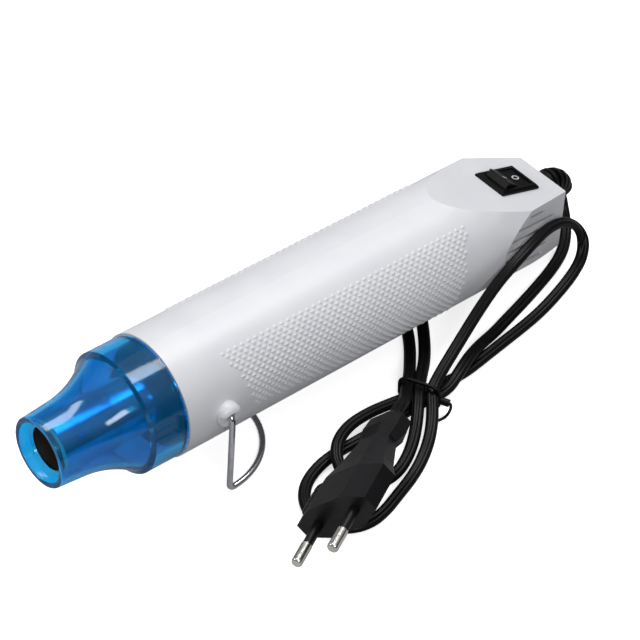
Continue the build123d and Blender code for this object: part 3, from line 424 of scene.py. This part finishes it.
# The body's flat slopes by the first angle, and the second is between the rocker's faces. The fold
# is placed from the pin, and the marks from the fold.
FLAT_ANGLE = np.radians(16.6)
FACE_ANGLE = np.radians(22.0)
FACE_HEIGHT = 3.9 * MM
FACE_START = 0.76 * MM
MARK_MIDDLE = 3.3 * MM
MARK_RISE = 0.04 * MM
MARK_SINK = 0.05 * MM
MARK_STROKE = 0.42 * MM
ROUND_MARK = np.array([1.55, 1.3]) * MM
ROUND_STEPS = 40
BAR_LENGTH = 2.8 * MM
# The bar is full: its inner outline is shrunk to almost nothing.
BAR_CORE_SHARE = 0.02

# White print: flat, without shine. Brass, stamped: warm and bright.
PRINT_WHITE = moulded("white_print", "#e6e6e6", "#dcdcdc", roughness=0.5, grain_mm=0.3, depth_mm=0.004)
BRASS = metal("brass_stamped", "#c8a862", "#ab8b4c", roughness=0.3, grain_mm=1.0)
dress(BLACK_NYLON, "switch_housing", "switch_rocker")
dress(BRASS, "switch_terminals")

pivot = np.array(joint("switch_rock")["pos_m"])
down_slope = np.cos(FLAT_ANGLE) * AXIS - np.sin(FLAT_ANGLE) * UP
off_slope = np.sin(FLAT_ANGLE) * AXIS + np.cos(FLAT_ANGLE) * UP


def on_rocker(points, angle, side):
    """Points on a face of the rocker, which is tilted by an angle from the body's flat: along it
    from the fold, across it, and off it."""
    p = np.asarray(points, float)
    along = side * np.cos(angle) * down_slope + np.sin(angle) * off_slope
    away = np.cos(angle) * off_slope - side * np.sin(angle) * down_slope
    fold = pivot + FACE_START * down_slope + FACE_HEIGHT * off_slope
    return fold + p[..., :1] * along + p[..., 1:2] * SIDE + p[..., 2:3] * away


def printed(name, outer, inner, angle, side):
    """A mark between two closed outlines. Each of their points gets an upright section of four
    corners, outer low and high and inner high and low, and the last section joins the first."""
    low, high = np.full(len(outer), -MARK_SINK), np.full(len(outer), MARK_RISE)
    section = [np.column_stack(pair) for pair in ((outer, low), (outer, high), (inner, high), (inner, low))]
    points = on_rocker(np.stack(section, axis=1), angle, side)
    faces = grid_faces(len(outer) + 1, 4, closed=True) % (4 * len(outer))
    if side > 0:
        faces = faces[:, ::-1]
    made = surface(name, points, faces.tolist(), smooth=False)
    made.data.materials.append(PRINT_WHITE)
    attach(made, "rocker")


around = np.linspace(0, 2 * np.pi, ROUND_STEPS, endpoint=False)
circle = np.column_stack([np.cos(around), np.sin(around)])
middle = np.array([MARK_MIDDLE, 0.0])
ring, hole = circle * ROUND_MARK, circle * (ROUND_MARK - MARK_STROKE)
printed("switch_mark_off", middle + ring, middle + hole, 0.0, 1)
bar = np.array([[-1, -1], [1, -1], [1, 1], [-1, 1]]) * np.array([BAR_LENGTH, MARK_STROKE]) / 2
printed("switch_mark_on", middle + bar, middle + bar * BAR_CORE_SHARE, FACE_ANGLE, -1)

# Strain relief, leads and tie: the ribbed boot is moulded round the cord and held in the tail. The
# leads run inside the body, and a thin covered wire is twisted once round the cord's loops.

# PVC, moulded or drawn over wire: black and soft, with a low sheen.
BLACK_BOOT = moulded(
    "black_pvc_boot", "#080809", "#050506", roughness=0.42, grain_mm=0.6, depth_mm=0.012, specular=0.2,
)
BLACK_PVC = moulded(
    "black_pvc_cord", "#080809", "#050506", roughness=0.36, grain_mm=1.2, depth_mm=0.01, specular=0.16,
)
dress(BLACK_BOOT, "strain_relief")
dress(BLACK_PVC, "cord_inner_end", "motor_leads", "live_lead", "neutral_lead", "switched_lead", "twist_tie")

# Tail of the tie: the free end of its covered wire, which comes off the knot and curls down under
# the cord. Its route is in millimetres.
TAIL_ROUTE = np.array([
    (25.6, -46.6, 5.6), (26.8, -48.6, 5.6), (26.6, -49.7, 4.8), (24.8, -50.4, 3.2), (22.8, -50.0, 1.6),
    (20.4, -48.9, 0.9), (18.4, -47.7, 0.8),
]) * MM
TAIL_RADIUS = 0.55 * MM
SECTION_STEPS = 12
CURVE_STEPS = 10
# Where less of a line's way than this share is level, across is taken from the point before.
LEAST_LEVEL = 0.2


def smooth_line(points, name):
    """The points of the NURBS curve of order 3 that follows a route, as an array."""
    curve = bpy.data.curves.new(name, "CURVE")
    curve.dimensions = "3D"
    curve.resolution_u = CURVE_STEPS
    spline = curve.splines.new("NURBS")
    spline.points.add(len(points) - 1)
    spline.points.foreach_set("co", np.hstack([points, np.ones((len(points), 1))]).ravel())
    spline.order_u = 3
    spline.use_endpoint_u = True
    holder = bpy.data.objects.new(name, curve)
    bpy.context.scene.collection.objects.link(holder)
    mesh = bpy.data.meshes.new_from_object(holder)
    line = np.empty(len(mesh.vertices) * 3)
    mesh.vertices.foreach_get("co", line)
    bpy.data.objects.remove(holder)
    bpy.data.meshes.remove(mesh)
    return line.reshape(-1, 3)


def carried(name, line, profile):
    """A profile of (across, up) points carried along a line and closed at both ends. Across is level
    and square to the line, and up is square to both."""
    along = np.gradient(line, axis=0)
    along /= np.linalg.norm(along, axis=1)[:, None]
    level = np.cross(along, np.array([0.0, 0.0, 1.0]))
    reach = np.linalg.norm(level, axis=1)
    flat = reach >= LEAST_LEVEL
    level /= np.maximum(reach, LEAST_LEVEL)[:, None]
    before = np.roll(level, 1, axis=0)
    flat_before = np.roll(flat, 1)
    flat_before[0] = False
    level = np.where(flat[:, None], level, np.where(flat_before[:, None], before, SIDE))
    level -= along * np.sum(level * along, axis=1)[:, None]
    level /= np.linalg.norm(level, axis=1)[:, None]
    raised = np.cross(level, along)
    rings = line[:, None] + profile[None, :, :1] * level[:, None] + profile[None, :, 1:] * raised[:, None]
    count = len(profile)
    last = (len(line) - 1) * count
    ends = [list(range(count))[::-1], list(range(last, last + count))]
    return surface(name, rings, grid_faces(len(line), count, closed=True).tolist() + ends)


round_turn = np.linspace(0, 2 * np.pi, SECTION_STEPS, endpoint=False)
round_section = np.column_stack([np.cos(round_turn), np.sin(round_turn)])
tail = carried("tie_tail", smooth_line(TAIL_ROUTE, "tail_line"), round_section * TAIL_RADIUS)
tail.data.materials.append(BLACK_PVC)
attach(tail, "tool")

# Mains cord: two cores side by side in one flat sheath of black PVC, drawn over them. It leaves the
# strain relief, lies in loops that the tie holds together, and is moulded into the plug.
CORD_WIDTH = 4.5 * MM
CORD_THICKNESS = 3.1 * MM
CORD_STEPS = 48
CORE_SPREAD = 3
GROOVE_DEPTH_SHARE = 0.32
GROOVE_WIDTH_SHARE = 0.1
BOOT_BEND = 8.5 * MM
BOOT_TURN = np.radians(80.0)
BOOT_ROOT = 187.6 * MM
OUTLET_HEIGHT = 1.0 * MM
LEAD_IN = 6.0 * MM
PLUG_FACE = np.array([-46.7, -72.7, 18.6]) * MM
PLUG_HEADING = np.radians(26.5)
PLUG_ROLL = np.radians(45.6)
PLUG_LENGTH = 50.0 * MM
# The route, in millimetres.
CORD_ROUTE = np.array([
    (124.4, -4.6, 4.9), (120.2, -9.6, 2.5), (113.6, -14.9, 1.9), (104.6, -19.0, 1.9),
    (94.6, -22.2, 1.9), (84.4, -25.1, 1.9), (74.4, -27.6, 1.9), (65.0, -30.2, 2.1),
    (56.0, -32.8, 4.2), (47.0, -36.4, 6.4), (38.4, -40.2, 6.4), (30.8, -42.8, 4.8), (23.4, -40.8, 3.7),
    (13.2, -39.6, 2.6), (3.0, -39.2, 1.9), (-8.5, -38.7, 1.9), (-19.5, -38.2, 1.9),
    (-28.5, -39.8, 1.9), (-36.0, -43.4, 1.9), (-41.0, -49.2, 1.9), (-42.9, -56.2, 1.9),
    (-41.2, -63.2, 1.9), (-36.2, -68.6, 1.9), (-29.2, -70.9, 1.9), (-21.5, -69.8, 1.9),
    (-13.0, -66.9, 1.9), (-4.5, -64.1, 1.9), (3.5, -60.6, 2.9), (11.2, -55.8, 4.9),
    (18.2, -49.2, 7.0), (24.3, -41.4, 8.0),
    (31.5, -38.4, 10.2), (39.8, -35.4, 12.4), (48.5, -32.4, 15.0), (58.0, -29.6, 18.8),
    (67.5, -27.7, 23.4), (77.0, -26.7, 27.2), (87.5, -24.4, 28.6), (98.0, -21.3, 27.6),
    (107.0, -19.9, 25.0), (113.2, -20.9, 20.4), (115.0, -23.9, 14.4), (111.6, -27.0, 9.0),
    (104.6, -29.4, 6.2), (96.0, -31.3, 4.2), (86.4, -33.0, 2.4), (76.0, -34.4, 1.9),
    (65.0, -35.6, 1.9), (54.0, -36.9, 1.9), (43.0, -38.3, 2.1), (32.0, -37.9, 2.8), (20.0, -35.7, 3.6),
    (10.4, -34.2, 4.5), (1.0, -33.6, 5.7), (-8.5, -34.3, 6.3), (-16.6, -37.8, 6.3),
    (-21.6, -43.6, 5.2), (-23.0, -50.0, 3.0), (-20.4, -56.0, 1.9), (-14.6, -59.4, 1.9),
    (-7.6, -59.5, 2.1), (-0.6, -57.0, 3.1), (6.0, -53.0, 4.8), (11.6, -48.2, 6.6),
    (16.6, -43.2, 7.8), (21.5, -38.0, 8.0),
    (28.2, -31.9, 6.4), (34.8, -26.0, 3.0), (41.2, -19.2, 1.9), (48.4, -10.0, 1.9),
    (53.9, -1.4, 1.9), (60.1, 6.6, 1.9), (63.0, 15.6, 1.9), (60.8, 24.6, 1.9), (53.4, 29.6, 1.9),
    (44.8, 27.6, 1.9), (40.4, 20.0, 1.9), (41.4, 11.2, 1.9), (44.6, 2.8, 1.9), (43.8, -6.2, 1.9),
    (37.4, -15.4, 1.9), (30.6, -23.0, 3.2), (24.8, -29.2, 6.0),
    (18.7, -34.9, 8.2), (13.0, -40.4, 11.6), (8.0, -45.2, 16.2),
]) * MM

# The boot bends down along an arc, and the cord leaves it at the arc's end.
boot_tip = np.array([
    BOOT_ROOT + BOOT_BEND * np.sin(BOOT_TURN), 0.0, OUTLET_HEIGHT - BOOT_BEND * (1 - np.cos(BOOT_TURN)),
])
boot_way = np.array([np.cos(BOOT_TURN), 0.0, -np.sin(BOOT_TURN)])
plug_x = np.array([np.cos(PLUG_HEADING), np.sin(PLUG_HEADING), 0.0])
plug_level = np.array([-np.sin(PLUG_HEADING), np.cos(PLUG_HEADING), 0.0])
plug_y = plug_level * np.cos(PLUG_ROLL) - np.array([0, 0, 1.0]) * np.sin(PLUG_ROLL)
plug_z = np.cross(plug_x, plug_y)


def on_plug(points):
    """Points in the plug's own frame, moved to where the plug lies. Its x runs from the face with
    the pins to the cord."""
    p = np.asarray(points, float)
    return PLUG_FACE + p[..., :1] * plug_x + p[..., 1:2] * plug_y + p[..., 2:3] * plug_z


def flat_cord_profile():
    """Two round cores in one sheath. Across, a circle's cosine, with each half moved outward by a
    steep S-curve of it. Up, the circle's sine, drawn in at the middle by a bell curve."""
    a = np.linspace(0, 2 * np.pi, CORD_STEPS, endpoint=False)
    core = CORD_THICKNESS / 2
    shift = (CORD_WIDTH - CORD_THICKNESS) / 2
    x = np.cos(a) * core + np.tanh(CORE_SPREAD * np.cos(a)) * shift
    waist = 1 - GROOVE_DEPTH_SHARE * np.exp(-((x / (GROOVE_WIDTH_SHARE * CORD_WIDTH)) ** 2))
    return np.stack([x, np.sin(a) * core * waist], -1)


cord_exit = at_rest(boot_tip)
cord_start = np.array([cord_exit, at_rest(boot_tip + boot_way * LEAD_IN)])
cord_finish = on_plug([[PLUG_LENGTH + LEAD_IN, 0, 0], [PLUG_LENGTH, 0, 0]])
line = smooth_line(np.concatenate([cord_start, CORD_ROUTE, cord_finish]), "cord_line")
cord = carried("mains_cord", line, flat_cord_profile())
cord.data.materials.append(BLACK_PVC)
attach(cord, "tool")
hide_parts("cord_lead", "cord_hank", "cord_tail")

# Plug: a flat black two-pin plug, moulded in PVC round the cord's end. The pins are brass, nickel
# plated, in black sleeves, and finger ribs run across the side.
RIB_COUNT = 5
RIB_START = 6.5 * MM
RIB_PITCH = 2.5 * MM
RIB_RADIUS = 1.0 * MM
# The way of a rib across and off the plug, from its side over the bevel, in millimetres.
RIB_PATH = np.array([
    (16.3, -2.8), (17.6, -1.8), (17.8, 1.4), (17.4, 3.2), (15.4, 4.0), (13.6, 4.5), (12.0, 4.4),
]) * MM

# Nickel plating: bright and faintly warm. Moulded PVC: black, satin, a little firmer than the cord.
NICKEL = metal("nickel_plated_brass", "#e4e1d8", "#cfccc2", roughness=0.18, grain_mm=1.5)
BLACK_PLUG = moulded(
    "black_pvc_plug", "#0e0e10", "#09090a", roughness=0.36, grain_mm=0.5, depth_mm=0.01, specular=0.25,
)
dress(BLACK_PLUG, "plug_body", "plug_pin_sleeves")
dress(NICKEL, "plug_pin_tips")

# Each rib is a round bar, half sunk in the plug. Its ends dip under the skin.
for index in range(RIB_COUNT):
    rib_points = np.column_stack([np.full(len(RIB_PATH), RIB_START + index * RIB_PITCH), RIB_PATH])
    rib_line = smooth_line(on_plug(rib_points), "rib_line")
    rib = carried(f"plug_rib_{index + 1}", rib_line, round_section * RIB_RADIUS)
    rib.data.materials.append(BLACK_PLUG)
    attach(rib, "tool")
